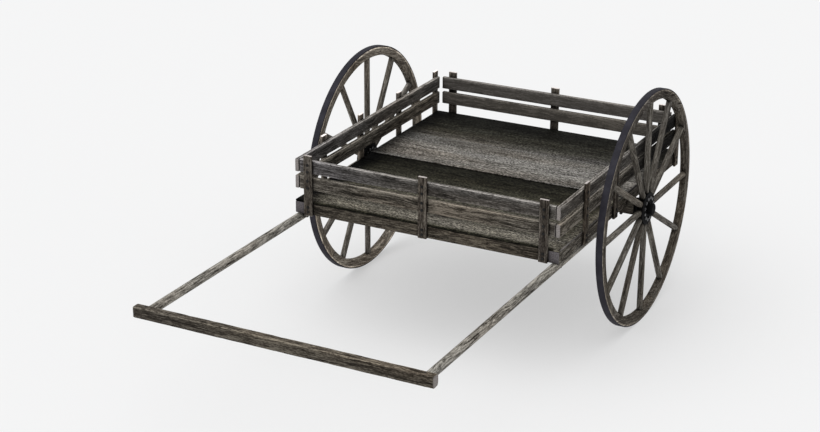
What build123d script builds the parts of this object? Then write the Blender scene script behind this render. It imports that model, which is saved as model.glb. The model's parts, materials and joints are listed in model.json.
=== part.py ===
from build123d import *
import os

# Two-wheeled wooden hand cart. Millimetres, +Z up, the ground at Z = 0.
# The pull frame and crossbar point to -Y, the tail of the box to +Y, X is across the cart.
# The origin is the middle of the cart's footprint.

os.makedirs("parts", exist_ok=True)

# ---- driving dimensions --------------------------------------------------------------

# Box
BOX_WIDTH = 1200.0  # over the outer faces of the side slats
BOX_FRONT_Y = -100.5  # outer face of the front slats
SIDE_LENGTH = 1303.5  # side slats, from the box front backwards
SLAT_THICKNESS = 18.0
SLAT_HEIGHT = 57.0
LOWER_SLAT_Z = 629.0  # underside of the lower slat
UPPER_SLAT_Z = 702.0  # underside of the upper slat
FRONT_SLAT_LENGTH = 1158.0
BACK_SLAT_LENGTH = 1139.0

# Sills, cross members and floor
SILL_WIDTH = 54.0
SILL_Z = 520.0
SILL_HEIGHT = 49.0
CROSS_SILL_THICKNESS = 40.0
BEARER_WIDTH = 45.0
FLOOR_THICKNESS = 9.0
DECK_THICKNESS = 6.0
DECK_START = 657.5  # from the box front back to the step in the floor
BOARD_GAP = 0.6

# Posts and their fasteners
POST_WIDTH = 40.0
POST_THICKNESS = 12.0
POST_BOTTOM_Z = 517.0
POST_TOP_Z = 784.0
SIDE_POST_POSITIONS = (250.0, 574.0, 933.0, 1301.0)  # from the box front backwards
FRONT_POST_X = 534.0
BACK_POST_X = 525.0
SLAT_FASTENER_Z = (742.0, 712.0, 672.0, 641.0)
SILL_FASTENER_Z = (556.0, 535.0)
SCREW_RADIUS = 3.0
SCREW_HEAD_RADIUS = 6.0
SCREW_HEAD_HEIGHT = 3.0
SLAT_BITE = 15.0  # of a screw in a slat
SILL_BITE = 30.0  # of a screw in a sill
SLAT_END_DISTANCE = 12.0  # least distance of a screw from the end of a side slat

# Pull frame
POLE_X = 581.0
POLE_Z = 503.0
POLE_RADIUS = 18.0
POLE_END = 480.0  # from the box front back to the end of the poles
CROSSBAR_LENGTH = 1253.0
CROSSBAR_DEPTH = 37.0
CROSSBAR_HEIGHT = 46.0
CROSSBAR_Z = 508.0
CROSSBAR_FRONT_Y = -1236.0
TENON_RADIUS = 12.0
TENON_LENGTH = 27.0
POLE_BOLT_POSITIONS = (60.0, 420.0)

# Axle
AXLE_FROM_FRONT = 752.0
AXLE_Z = 513.0
BEAM_SIZE = 60.0
BEAM_LENGTH = 1264.0
BEAM_HALVING = 12.0  # depth cut into the beam; the rest is cut into the sill
TANG_SIZE = 26.0
TANG_LENGTH = 220.0
ARM_RADIUS = 12.95
COLLAR_RADIUS = 20.0
THREAD_RADIUS = 10.0
END_PLAY = 0.3

# Wheels
WHEEL_RADIUS = 513.0
WHEEL_X = 671.5  # middle plane of each wheel
TYRE_WIDTH = 29.0
TYRE_THICKNESS = 5.0
FELLOE_DEPTH = 37.0
FELLOE_COUNT = 6
SPOKE_COUNT = 12
SPOKE_RADIUS = 13.0
SPOKE_FOOT_THICKNESS = 20.0
SPOKE_FOOT_WIDTH = 24.0
SPOKE_TENON_RADIUS = 8.0
SPOKE_TENON_LENGTH = 25.0
FLANGE_RADIUS = 70.0
FLANGE_THICKNESS = 6.0
BOX_RADIUS = 23.0
BORE_RADIUS = 13.0
BOX_HALF_LENGTH = 22.0
HUB_BOLT_CIRCLE = 47.0
HUB_BOLT_RADIUS = 4.0
CAP_RADIUS = 25.0
CAP_LENGTH = 25.0
CAP_BORE_RADIUS = 20.0

# ---- derived positions ---------------------------------------------------------------

HALF_BOX = BOX_WIDTH / 2
SILL_TOP = SILL_Z + SILL_HEIGHT
FLOOR_TOP = SILL_TOP + FLOOR_THICKNESS
DECK_TOP = FLOOR_TOP + DECK_THICKNESS
SILL_X = HALF_BOX - SILL_WIDTH / 2
SIDE_BACK_Y = BOX_FRONT_Y + SIDE_LENGTH
BOX_BACK_Y = SIDE_BACK_Y + SLAT_THICKNESS
AXLE_Y = BOX_FRONT_Y + AXLE_FROM_FRONT
STEP_Y = BOX_FRONT_Y + DECK_START
POST_HEIGHT = POST_TOP_Z - POST_BOTTOM_Z
SIDE_POST_Y = [BOX_FRONT_Y + position for position in SIDE_POST_POSITIONS]
SLAT_SCREW_Y = [min(y, SIDE_BACK_Y - SLAT_END_DISTANCE) for y in SIDE_POST_Y]
FELLOE_OUTER = WHEEL_RADIUS - TYRE_THICKNESS
FELLOE_INNER = FELLOE_OUTER - FELLOE_DEPTH
CROSSBAR_BACK_Y = CROSSBAR_FRONT_Y + CROSSBAR_DEPTH
BEAM_TOP = AXLE_Z + BEAM_SIZE / 2
BEAM_BOTTOM = AXLE_Z - BEAM_SIZE / 2
SIDES = ((-1, "left"), (1, "right"))
FASTENER_Z = SLAT_FASTENER_Z + SILL_FASTENER_Z

SILL_LENGTH = BOX_BACK_Y - BOX_FRONT_Y
SILL_MIDDLE_Y = (BOX_BACK_Y + BOX_FRONT_Y) / 2

# Boards and nails of the floor
FLOOR_BOARDS = 7
BOARD_PITCH = SILL_LENGTH / FLOOR_BOARDS
FLOOR_BOARD_Y = [BOX_FRONT_Y + BOARD_PITCH * (i + 0.5) for i in range(FLOOR_BOARDS)]
DECK_FIRST_WIDTH = 149.0
DECK_OTHER_WIDTH = (BOX_BACK_Y - STEP_Y - DECK_FIRST_WIDTH) / 3
DECK_BOARDS = [(STEP_Y + DECK_FIRST_WIDTH / 2, DECK_FIRST_WIDTH)]
for i in range(3):
    DECK_BOARDS.append((STEP_Y + DECK_FIRST_WIDTH + DECK_OTHER_WIDTH * (i + 0.5), DECK_OTHER_WIDTH))
NAIL_RADIUS = 2.0
NAIL_HEAD_RADIUS = 4.0
NAIL_HEAD_HEIGHT = 1.5
NAIL_LENGTH = 20.0
FLOOR_NAIL_X = 556.0
DECK_NAIL_X = 591.0
FLOOR_NAILS = [(side * FLOOR_NAIL_X, y) for side, word in SIDES for y in FLOOR_BOARD_Y]
DECK_NAILS = [(side * DECK_NAIL_X, y) for side, word in SIDES for y, width in DECK_BOARDS]

# ---- sills ---------------------------------------------------------------------------

BEARER_POSITIONS = (330.0, 657.5, 1030.0)  # from the box front to each bearer's middle
BEARER_Y = [BOX_FRONT_Y + position for position in BEARER_POSITIONS]
CROSS_TENON = 20.0
CROSS_TENON_HEIGHT = 25.0
CROSS_TENON_WIDTH = 20.0
CROSS_Y = [
    BOX_FRONT_Y + CROSS_SILL_THICKNESS / 2,
    *BEARER_Y,
    BOX_BACK_Y - CROSS_SILL_THICKNESS / 2,
]
SILL_MIDDLE_Z = SILL_Z + SILL_HEIGHT / 2
POLE_BOLT_Y = [BOX_FRONT_Y + position for position in POLE_BOLT_POSITIONS]
BEAM_BOLT_Y = [AXLE_Y - 21.0, AXLE_Y + 21.0]
CARRIAGE_RADIUS = 4.0
CARRIAGE_HEAD_RADIUS = 10.0
CARRIAGE_HEAD_HEIGHT = 5.0

for side, word in SIDES:
    with BuildPart() as sill:
        with Locations((side * SILL_X, SILL_MIDDLE_Y, SILL_MIDDLE_Z)):
            Box(SILL_WIDTH, SILL_LENGTH, SILL_HEIGHT)
        chamfer(sill.edges().filter_by(Axis.Y), length=2.0)
        # Blind mortises for the cross members
        inner_face_x = side * (HALF_BOX - SILL_WIDTH)
        with Locations([(inner_face_x + side * CROSS_TENON / 2, y, SILL_MIDDLE_Z) for y in CROSS_Y]):
            Box(CROSS_TENON, CROSS_TENON_WIDTH, CROSS_TENON_HEIGHT, mode=Mode.SUBTRACT)
        # Halving over the axle beam
        notch_height = BEAM_TOP - BEAM_HALVING - SILL_Z
        with Locations((side * SILL_X, AXLE_Y, SILL_Z + notch_height / 2)):
            Box(SILL_WIDTH, BEAM_SIZE, notch_height, mode=Mode.SUBTRACT)
        # Vertical bolts to the beam and to the pole, with sunk heads
        with Locations([(side * SILL_X, y, SILL_TOP) for y in BEAM_BOLT_Y]):
            CounterBoreHole(CARRIAGE_RADIUS + 0.3, CARRIAGE_HEAD_RADIUS + 0.5, 6.0)
        with Locations([(side * POLE_X, y, SILL_TOP) for y in POLE_BOLT_Y]):
            CounterBoreHole(CARRIAGE_RADIUS + 0.3, CARRIAGE_HEAD_RADIUS + 0.5, 6.0)
        # Screws from the side posts
        for y in SIDE_POST_Y:
            for z in SILL_FASTENER_Z:
                with BuildSketch(Plane.YZ.offset(side * HALF_BOX)):
                    with Locations((y, z)):
                        Circle(SCREW_RADIUS + 0.05)
                extrude(amount=-side * (SILL_BITE + 0.5), mode=Mode.SUBTRACT)
        # Nails from the floor
        with Locations([(side * FLOOR_NAIL_X, y, SILL_TOP) for y in FLOOR_BOARD_Y]):
            Hole(NAIL_RADIUS + 0.05, depth=NAIL_LENGTH - FLOOR_THICKNESS + 0.5)
        with Locations([(side * DECK_NAIL_X, y, SILL_TOP) for y, width in DECK_BOARDS]):
            Hole(NAIL_RADIUS + 0.05, depth=NAIL_LENGTH - FLOOR_THICKNESS - DECK_THICKNESS + 0.5)
    sill.part.label = f"sill_{word}"
    export_step(sill.part, f"parts/sill_{word}.step")

# ---- cross sills and bearers ---------------------------------------------------------

CROSS_LENGTH = BOX_WIDTH - 2 * SILL_WIDTH
CROSS_SPAN = CROSS_LENGTH + 2 * (CROSS_TENON - 0.5)

with BuildPart() as front_cross_sill:
    with Locations((0, CROSS_Y[0], SILL_MIDDLE_Z)):
        Box(CROSS_LENGTH, CROSS_SILL_THICKNESS, SILL_HEIGHT)
        Box(CROSS_SPAN, CROSS_TENON_WIDTH, CROSS_TENON_HEIGHT)
    with BuildSketch(Plane.XZ.offset(-BOX_FRONT_Y)):
        with Locations([(x, z) for x in (-FRONT_POST_X, 0, FRONT_POST_X) for z in SILL_FASTENER_Z]):
            Circle(SCREW_RADIUS + 0.05)
    extrude(amount=-30.5, mode=Mode.SUBTRACT)
front_cross_sill.part.label = "cross_sill_front"
export_step(front_cross_sill.part, "parts/cross_sill_front.step")

with BuildPart() as rear_cross_sill:
    with Locations((0, CROSS_Y[-1], SILL_MIDDLE_Z)):
        Box(CROSS_LENGTH, CROSS_SILL_THICKNESS, SILL_HEIGHT)
        Box(CROSS_SPAN, CROSS_TENON_WIDTH, CROSS_TENON_HEIGHT)
    with BuildSketch(Plane.XZ.offset(-BOX_BACK_Y)):
        with Locations([(x, z) for x in (-BACK_POST_X, 0, BACK_POST_X) for z in SILL_FASTENER_Z]):
            Circle(SCREW_RADIUS + 0.05)
    extrude(amount=30.5, mode=Mode.SUBTRACT)
rear_cross_sill.part.label = "cross_sill_rear"
export_step(rear_cross_sill.part, "parts/cross_sill_rear.step")

with BuildPart() as bearers:
    with Locations([(0, y, SILL_MIDDLE_Z) for y in BEARER_Y]):
        Box(CROSS_LENGTH, BEARER_WIDTH, SILL_HEIGHT)
        Box(CROSS_SPAN, CROSS_TENON_WIDTH, CROSS_TENON_HEIGHT)
bearers.part.label = "bearers"
export_step(bearers.part, "parts/bearers.step")

# ---- floor ---------------------------------------------------------------------------

with BuildPart() as floor_boards:
    with Locations([(0, y, SILL_TOP + FLOOR_THICKNESS / 2) for y in FLOOR_BOARD_Y]):
        Box(BOX_WIDTH, BOARD_PITCH - BOARD_GAP, FLOOR_THICKNESS)
    with Locations([(x, y, FLOOR_TOP) for x, y in FLOOR_NAILS]):
        CounterBoreHole(NAIL_RADIUS + 0.05, NAIL_HEAD_RADIUS + 0.05, NAIL_HEAD_HEIGHT)
    with Locations([(x, y, FLOOR_TOP) for x, y in DECK_NAILS]):
        Hole(NAIL_RADIUS + 0.05)
floor_boards.part.label = "floor_boards"
export_step(floor_boards.part, "parts/floor_boards.step")

with BuildPart() as deck_boards:
    for y, width in DECK_BOARDS:
        with Locations((0, y, FLOOR_TOP + DECK_THICKNESS / 2)):
            Box(BOX_WIDTH, width - BOARD_GAP, DECK_THICKNESS)
    with Locations([(x, y, DECK_TOP) for x, y in DECK_NAILS]):
        CounterBoreHole(NAIL_RADIUS + 0.05, NAIL_HEAD_RADIUS + 0.05, NAIL_HEAD_HEIGHT)
deck_boards.part.label = "deck_boards"
export_step(deck_boards.part, "parts/deck_boards.step")

for name, points, top in (("floor_nails", FLOOR_NAILS, FLOOR_TOP), ("deck_nails", DECK_NAILS, DECK_TOP)):
    with BuildPart() as nails:
        with Locations([(x, y, top) for x, y in points]):
            Cylinder(NAIL_RADIUS, NAIL_LENGTH, align=(Align.CENTER, Align.CENTER, Align.MAX))
            Cylinder(NAIL_HEAD_RADIUS, NAIL_HEAD_HEIGHT, align=(Align.CENTER, Align.CENTER, Align.MAX))
    nails.part.label = name
    export_step(nails.part, f"parts/{name}.step")

# ---- slats ---------------------------------------------------------------------------

SIDE_SLAT_Y = (BOX_FRONT_Y + SIDE_BACK_Y) / 2
LEVELS = ((LOWER_SLAT_Z, "lower", SLAT_FASTENER_Z[2:]), (UPPER_SLAT_Z, "upper", SLAT_FASTENER_Z[:2]))
SCREW_HOLE_RADIUS = SCREW_RADIUS + 0.1

for bottom_z, level, fastener_z in LEVELS:
    slat_z = bottom_z + SLAT_HEIGHT / 2
    for side, word in SIDES:
        with BuildPart() as side_slat:
            with Locations((side * (HALF_BOX - SLAT_THICKNESS / 2), SIDE_SLAT_Y, slat_z)):
                Box(SLAT_THICKNESS, SIDE_LENGTH, SLAT_HEIGHT)
            chamfer(side_slat.edges().filter_by(Axis.Y), length=1.5)
            with BuildSketch(Plane.YZ.offset(side * HALF_BOX)):
                with Locations([(y, z) for y in SLAT_SCREW_Y for z in fastener_z]):
                    Circle(SCREW_HOLE_RADIUS)
            extrude(amount=-side * (SLAT_BITE + 0.5), mode=Mode.SUBTRACT)
        side_slat.part.label = f"slat_{word}_{level}"
        export_step(side_slat.part, f"parts/slat_{word}_{level}.step")
    with BuildPart() as front_slat:
        with Locations((0, BOX_FRONT_Y + SLAT_THICKNESS / 2, slat_z)):
            Box(FRONT_SLAT_LENGTH, SLAT_THICKNESS, SLAT_HEIGHT)
        chamfer(front_slat.edges().filter_by(Axis.X), length=1.5)
        with BuildSketch(Plane.XZ.offset(-BOX_FRONT_Y)):
            with Locations([(x, z) for x in (-FRONT_POST_X, 0, FRONT_POST_X) for z in fastener_z]):
                Circle(SCREW_HOLE_RADIUS)
        extrude(amount=-(SLAT_BITE + 0.5), mode=Mode.SUBTRACT)
    front_slat.part.label = f"slat_front_{level}"
    export_step(front_slat.part, f"parts/slat_front_{level}.step")
    with BuildPart() as back_slat:
        with Locations((0, SIDE_BACK_Y + SLAT_THICKNESS / 2, slat_z)):
            Box(BACK_SLAT_LENGTH, SLAT_THICKNESS, SLAT_HEIGHT)
        chamfer(back_slat.edges().filter_by(Axis.X), length=1.5)
        with BuildSketch(Plane.XZ.offset(-BOX_BACK_Y)):
            with Locations([(x, z) for x in (-BACK_POST_X, 0, BACK_POST_X) for z in fastener_z]):
                Circle(SCREW_HOLE_RADIUS)
        extrude(amount=SLAT_BITE + 0.5, mode=Mode.SUBTRACT)
    back_slat.part.label = f"slat_back_{level}"
    export_step(back_slat.part, f"parts/slat_back_{level}.step")

# ---- posts ---------------------------------------------------------------------------

POST_MIDDLE_Z = (POST_TOP_Z + POST_BOTTOM_Z) / 2
POST_CHAMFER = 1.5

for side, word in SIDES:
    with BuildPart() as side_posts:
        with Locations([(side * (HALF_BOX + POST_THICKNESS / 2), y, POST_MIDDLE_Z) for y in SIDE_POST_Y]):
            Box(POST_THICKNESS, POST_WIDTH, POST_HEIGHT)
        chamfer(side_posts.edges().filter_by(Axis.Z), length=POST_CHAMFER)
        with BuildSketch(Plane.YZ.offset(side * HALF_BOX)):
            with Locations(
                [(y, z) for y in SLAT_SCREW_Y for z in SLAT_FASTENER_Z]
                + [(y, z) for y in SIDE_POST_Y for z in SILL_FASTENER_Z]
            ):
                Circle(SCREW_HOLE_RADIUS)
        extrude(amount=side * POST_THICKNESS, mode=Mode.SUBTRACT)
    side_posts.part.label = f"posts_{word}"
    export_step(side_posts.part, f"parts/posts_{word}.step")

for word, face_y, post_x, way in (
    ("front", BOX_FRONT_Y, FRONT_POST_X, -1),
    ("back", BOX_BACK_Y, BACK_POST_X, 1),
):
    with BuildPart() as end_posts:
        with Locations([(x, face_y + way * POST_THICKNESS / 2, POST_MIDDLE_Z) for x in (-post_x, 0, post_x)]):
            Box(POST_WIDTH, POST_THICKNESS, POST_HEIGHT)
        chamfer(end_posts.edges().filter_by(Axis.Z), length=POST_CHAMFER)
        with BuildSketch(Plane.XZ.offset(-face_y)):
            with Locations([(x, z) for x in (-post_x, 0, post_x) for z in FASTENER_Z]):
                Circle(SCREW_HOLE_RADIUS)
        extrude(amount=-way * POST_THICKNESS, mode=Mode.SUBTRACT)
    end_posts.part.label = f"posts_{word}"
    export_step(end_posts.part, f"parts/posts_{word}.step")

# ---- post fasteners ------------------------------------------------------------------

# Round-headed screws pass the post and bite into a slat or, longer, into the sill.


def post_screw(bite):
    with BuildPart() as screw:
        with BuildSketch(Plane.XY):
            Circle(SCREW_RADIUS)
        extrude(amount=-(POST_THICKNESS + bite))
        with BuildSketch(Plane.XY):
            Circle(SCREW_HEAD_RADIUS)
        extrude(amount=SCREW_HEAD_HEIGHT)
        fillet(screw.edges().group_by(Axis.Z)[-1], radius=2.4)
    return screw.part


slat_screw = post_screw(SLAT_BITE)
sill_screw = post_screw(SILL_BITE)

for side, word in SIDES:
    outer = Plane(
        origin=(side * (HALF_BOX + POST_THICKNESS), 0, 0), x_dir=(0, side, 0), z_dir=(side, 0, 0)
    )
    with BuildPart() as side_fasteners:
        with Locations(outer):
            with Locations([(side * y, z) for y in SLAT_SCREW_Y for z in SLAT_FASTENER_Z]):
                add(slat_screw)
            with Locations([(side * y, z) for y in SIDE_POST_Y for z in SILL_FASTENER_Z]):
                add(sill_screw)
    side_fasteners.part.label = f"fasteners_{word}"
    export_step(side_fasteners.part, f"parts/fasteners_{word}.step")

for word, face_y, post_x, way in (
    ("front", BOX_FRONT_Y, FRONT_POST_X, -1),
    ("back", BOX_BACK_Y, BACK_POST_X, 1),
):
    outer = Plane(origin=(0, face_y + way * POST_THICKNESS, 0), x_dir=(-way, 0, 0), z_dir=(0, way, 0))
    with BuildPart() as end_fasteners:
        with Locations(outer):
            with Locations([(x, z) for x in (-post_x, 0, post_x) for z in SLAT_FASTENER_Z]):
                add(slat_screw)
            with Locations([(x, z) for x in (-post_x, 0, post_x) for z in SILL_FASTENER_Z]):
                add(sill_screw)
    end_fasteners.part.label = f"fasteners_{word}"
    export_step(end_fasteners.part, f"parts/fasteners_{word}.step")

# ---- axle beam -----------------------------------------------------------------------

TANG_BOLT_X = (450.0, 530.0)  # through the tang, inside the sills
TANG_BOLT_HEAD = 6.0

with BuildPart() as axle_beam:
    with Locations((0, AXLE_Y, AXLE_Z)):
        Box(BEAM_LENGTH, BEAM_SIZE, BEAM_SIZE)
    chamfer(axle_beam.edges().filter_by(Axis.X), length=2.5)
    # Halvings that take the sills
    with Locations([(side * SILL_X, AXLE_Y, BEAM_TOP - BEAM_HALVING / 2) for side, word in SIDES]):
        Box(SILL_WIDTH, BEAM_SIZE, BEAM_HALVING, mode=Mode.SUBTRACT)
    # Mortises for the tangs of the iron arms
    mortise_x = BEAM_LENGTH / 2 - TANG_LENGTH / 2 - 0.5
    with Locations([(side * mortise_x, AXLE_Y, AXLE_Z) for side, word in SIDES]):
        Box(TANG_LENGTH + 1.0, TANG_SIZE + 0.2, TANG_SIZE + 0.2, mode=Mode.SUBTRACT)
    with Locations([(side * SILL_X, y, BEAM_TOP) for side, word in SIDES for y in BEAM_BOLT_Y]):
        Hole(CARRIAGE_RADIUS + 0.3)
    with Locations([(side * x, AXLE_Y, BEAM_TOP) for side, word in SIDES for x in TANG_BOLT_X]):
        Hole(CARRIAGE_RADIUS + 0.3)
axle_beam.part.label = "axle_beam"
export_step(axle_beam.part, "parts/axle_beam.step")

# Carriage bolt: domed head at the top, hexagon nut below, drawn from under its head downwards
NUT_WIDTH = 13.0
NUT_HEIGHT = 6.5
NUT_STUB = 3.0

bolt_sets = (
    ("beam_bolts", [(side * SILL_X, y) for side, word in SIDES for y in BEAM_BOLT_Y],
     SILL_TOP - 6.0, BEAM_BOTTOM),
    ("tang_bolts", [(side * x, AXLE_Y) for side, word in SIDES for x in TANG_BOLT_X],
     BEAM_TOP, BEAM_BOTTOM),
    ("pole_bolts", [(side * POLE_X, y) for side, word in SIDES for y in POLE_BOLT_Y],
     SILL_TOP - 6.0, POLE_Z - POLE_RADIUS + 3.0),
)
for name, points, head_z, nut_z in bolt_sets:
    with BuildPart() as bolts:
        with BuildSketch(Plane.XY.offset(head_z)):
            with Locations(points):
                Circle(CARRIAGE_HEAD_RADIUS)
        extrude(amount=CARRIAGE_HEAD_HEIGHT)
        chamfer(bolts.edges().group_by(Axis.Z)[-1], length=2.0)
        with Locations([(x, y, head_z) for x, y in points]):
            bolt_length = head_z - nut_z + NUT_HEIGHT + NUT_STUB
            Cylinder(CARRIAGE_RADIUS, bolt_length, align=(Align.CENTER, Align.CENTER, Align.MAX))
        with BuildSketch(Plane.XY.offset(nut_z)):
            with Locations(points):
                RegularPolygon(NUT_WIDTH / 2, 6, major_radius=False)
        extrude(amount=-NUT_HEIGHT)
    bolts.part.label = name
    export_step(bolts.part, f"parts/{name}.step")

# ---- axle arms -----------------------------------------------------------------------

ARM_START = WHEEL_X - BOX_HALF_LENGTH - END_PLAY  # inner shoulder that the wheel runs against
ARM_END = WHEEL_X + BOX_HALF_LENGTH + END_PLAY  # shoulder that takes the washer
THREAD_END = WHEEL_X + 37.0
WASHER_THICKNESS = 3.0
WASHER_RADIUS = 17.5
AXLE_NUT_WIDTH = 30.0
AXLE_NUT_THICKNESS = 8.0
PIN_RADIUS = 1.25
PIN_LENGTH = 28.0
PIN_X = WHEEL_X + 35.0

for side, word in SIDES:
    arm_plane = Plane(origin=(0, AXLE_Y, AXLE_Z), x_dir=(0, 1, 0), z_dir=(side, 0, 0))
    with BuildPart() as axle_arm:
        with BuildSketch(arm_plane.offset(BEAM_LENGTH / 2 - TANG_LENGTH)):
            Rectangle(TANG_SIZE, TANG_SIZE)
        extrude(amount=TANG_LENGTH)
        with BuildSketch(arm_plane.offset(BEAM_LENGTH / 2)):
            Circle(COLLAR_RADIUS)
        extrude(amount=ARM_START - BEAM_LENGTH / 2)
        with BuildSketch(arm_plane.offset(ARM_START)):
            Circle(ARM_RADIUS)
        extrude(amount=ARM_END - ARM_START)
        with BuildSketch(arm_plane.offset(ARM_END)):
            Circle(THREAD_RADIUS)
        extrude(amount=THREAD_END - ARM_END)
        with Locations([(side * x, AXLE_Y, AXLE_Z + TANG_SIZE / 2) for x in TANG_BOLT_X]):
            Hole(CARRIAGE_RADIUS + 0.3)
        with Locations((side * PIN_X, AXLE_Y, AXLE_Z + THREAD_RADIUS)):
            Hole(PIN_RADIUS + 0.1)
    axle_arm.part.label = f"axle_arm_{word}"
    export_step(axle_arm.part, f"parts/axle_arm_{word}.step")

with BuildPart() as axle_washers:
    for side, word in SIDES:
        with BuildSketch(Plane(origin=(side * ARM_END, AXLE_Y, AXLE_Z), x_dir=(0, 1, 0), z_dir=(side, 0, 0))):
            Circle(WASHER_RADIUS)
            Circle(THREAD_RADIUS + 0.05, mode=Mode.SUBTRACT)
        extrude(amount=WASHER_THICKNESS)
axle_washers.part.label = "axle_washers"
export_step(axle_washers.part, "parts/axle_washers.step")

with BuildPart() as axle_nuts:
    for side, word in SIDES:
        nut_start = side * (ARM_END + WASHER_THICKNESS)
        with BuildSketch(Plane(origin=(nut_start, AXLE_Y, AXLE_Z), x_dir=(0, 1, 0), z_dir=(side, 0, 0))):
            RegularPolygon(AXLE_NUT_WIDTH / 2, 6, major_radius=False)
            Circle(THREAD_RADIUS + 0.05, mode=Mode.SUBTRACT)
        extrude(amount=AXLE_NUT_THICKNESS)
axle_nuts.part.label = "axle_nuts"
export_step(axle_nuts.part, "parts/axle_nuts.step")

with BuildPart() as split_pins:
    with Locations([(side * PIN_X, AXLE_Y, AXLE_Z) for side, word in SIDES]):
        Cylinder(PIN_RADIUS, PIN_LENGTH)
split_pins.part.label = "split_pins"
export_step(split_pins.part, "parts/split_pins.step")

# ---- wheels --------------------------------------------------------------------------

SPOKE_STEP = 360.0 / SPOKE_COUNT
FELLOE_STEP = 360.0 / FELLOE_COUNT
FELLOE_GAP = 0.3
DOWEL_RADIUS = 6.0
DOWEL_LENGTH = 50.0
DOWEL_CIRCLE = (FELLOE_OUTER + FELLOE_INNER) / 2
HUB_HEAD_WIDTH = 13.0
HUB_HEAD_HEIGHT = 5.0
HUB_NUT_HEIGHT = 6.0
FLANGE_START = SPOKE_FOOT_THICKNESS / 2

for side, word in SIDES:
    # Local Z of this plane points away from the cart, so both wheels are built alike.
    hub = Plane(origin=(side * WHEEL_X, AXLE_Y, AXLE_Z), x_dir=(0, 1, 0), z_dir=(side, 0, 0))

    with BuildPart() as tyre:
        with BuildSketch(hub.offset(-TYRE_WIDTH / 2)):
            Circle(WHEEL_RADIUS)
            Circle(FELLOE_OUTER, mode=Mode.SUBTRACT)
        extrude(amount=TYRE_WIDTH)
        chamfer(tyre.edges().filter_by(GeomType.CIRCLE).sort_by(SortBy.LENGTH)[-2:], length=1.0)
    tyre.part.label = f"tyre_{word}"
    export_step(tyre.part, f"parts/tyre_{word}.step")

    with BuildPart() as felloes:
        with BuildSketch(hub.offset(-TYRE_WIDTH / 2)):
            Circle(FELLOE_OUTER)
            Circle(FELLOE_INNER, mode=Mode.SUBTRACT)
            with PolarLocations((FELLOE_INNER + FELLOE_OUTER) / 2, FELLOE_COUNT, start_angle=SPOKE_STEP / 2):
                Rectangle(FELLOE_DEPTH + 4.0, FELLOE_GAP, mode=Mode.SUBTRACT)
        extrude(amount=TYRE_WIDTH)
        # Mortises for the spoke tenons
        with Locations(hub):
            with PolarLocations(FELLOE_INNER, SPOKE_COUNT):
                with Locations(Rotation(0, 90, 0)):
                    Cylinder(SPOKE_TENON_RADIUS + 0.1, 2 * (SPOKE_TENON_LENGTH + 1.0), mode=Mode.SUBTRACT)
            # Dowel holes across the joints
            with PolarLocations(DOWEL_CIRCLE, FELLOE_COUNT, start_angle=SPOKE_STEP / 2):
                with Locations(Rotation(90, 0, 0)):
                    Cylinder(DOWEL_RADIUS + 0.1, DOWEL_LENGTH + 1.0, mode=Mode.SUBTRACT)
    felloes.part.label = f"felloes_{word}"
    export_step(felloes.part, f"parts/felloes_{word}.step")

    with BuildPart() as dowels:
        with Locations(hub):
            with PolarLocations(DOWEL_CIRCLE, FELLOE_COUNT, start_angle=SPOKE_STEP / 2):
                with Locations(Rotation(90, 0, 0)):
                    Cylinder(DOWEL_RADIUS, DOWEL_LENGTH)
    dowels.part.label = f"felloe_dowels_{word}"
    export_step(dowels.part, f"parts/felloe_dowels_{word}.step")

    # Spokes: feet mitred around the axle box, round shafts, round tenons
    wedge = SPOKE_STEP / 2
    foot_start = BOX_RADIUS + 0.3
    foot_end = FLANGE_RADIUS + 6.0
    shaft_start = FLANGE_RADIUS + 0.5
    shaft_end = FELLOE_INNER - 0.25
    with BuildPart() as spokes:
        with Locations(hub):
            with PolarLocations(0, SPOKE_COUNT):
                with Locations(Location(((shaft_start + shaft_end) / 2, 0, 0), (0, 90, 0))):
                    Cylinder(SPOKE_RADIUS, shaft_end - shaft_start)
                with Locations(Location((FELLOE_INNER + SPOKE_TENON_LENGTH / 2 - 5.0, 0, 0), (0, 90, 0))):
                    Cylinder(SPOKE_TENON_RADIUS, SPOKE_TENON_LENGTH + 10.0)
        with BuildSketch(hub.offset(-SPOKE_FOOT_THICKNESS / 2)):
            with PolarLocations(foot_end / 2, SPOKE_COUNT):
                Rectangle(foot_end, SPOKE_FOOT_WIDTH)
            Circle(foot_start, mode=Mode.SUBTRACT)
            with PolarLocations(foot_end / 2, SPOKE_COUNT, start_angle=wedge):
                Rectangle(foot_end, 0.3, mode=Mode.SUBTRACT)
            with PolarLocations(HUB_BOLT_CIRCLE, SPOKE_COUNT, start_angle=wedge):
                Circle(HUB_BOLT_RADIUS + 0.3, mode=Mode.SUBTRACT)
        extrude(amount=SPOKE_FOOT_THICKNESS)
    spokes.part.label = f"spokes_{word}"
    export_step(spokes.part, f"parts/spokes_{word}.step")

    for flange_word, start in (("outer", FLANGE_START), ("inner", -FLANGE_START - FLANGE_THICKNESS)):
        with BuildPart() as flange:
            with BuildSketch(hub.offset(start)):
                Circle(FLANGE_RADIUS)
                Circle(BOX_RADIUS + 0.05, mode=Mode.SUBTRACT)
                with PolarLocations(HUB_BOLT_CIRCLE, SPOKE_COUNT, start_angle=wedge):
                    Circle(HUB_BOLT_RADIUS + 0.1, mode=Mode.SUBTRACT)
            extrude(amount=FLANGE_THICKNESS)
        flange.part.label = f"hub_flange_{flange_word}_{word}"
        export_step(flange.part, f"parts/hub_flange_{flange_word}_{word}.step")

    with BuildPart() as axle_box:
        with BuildSketch(hub.offset(-BOX_HALF_LENGTH)):
            Circle(BOX_RADIUS)
            Circle(BORE_RADIUS, mode=Mode.SUBTRACT)
        extrude(amount=2 * BOX_HALF_LENGTH)
    axle_box.part.label = f"axle_box_{word}"
    export_step(axle_box.part, f"parts/axle_box_{word}.step")

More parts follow.
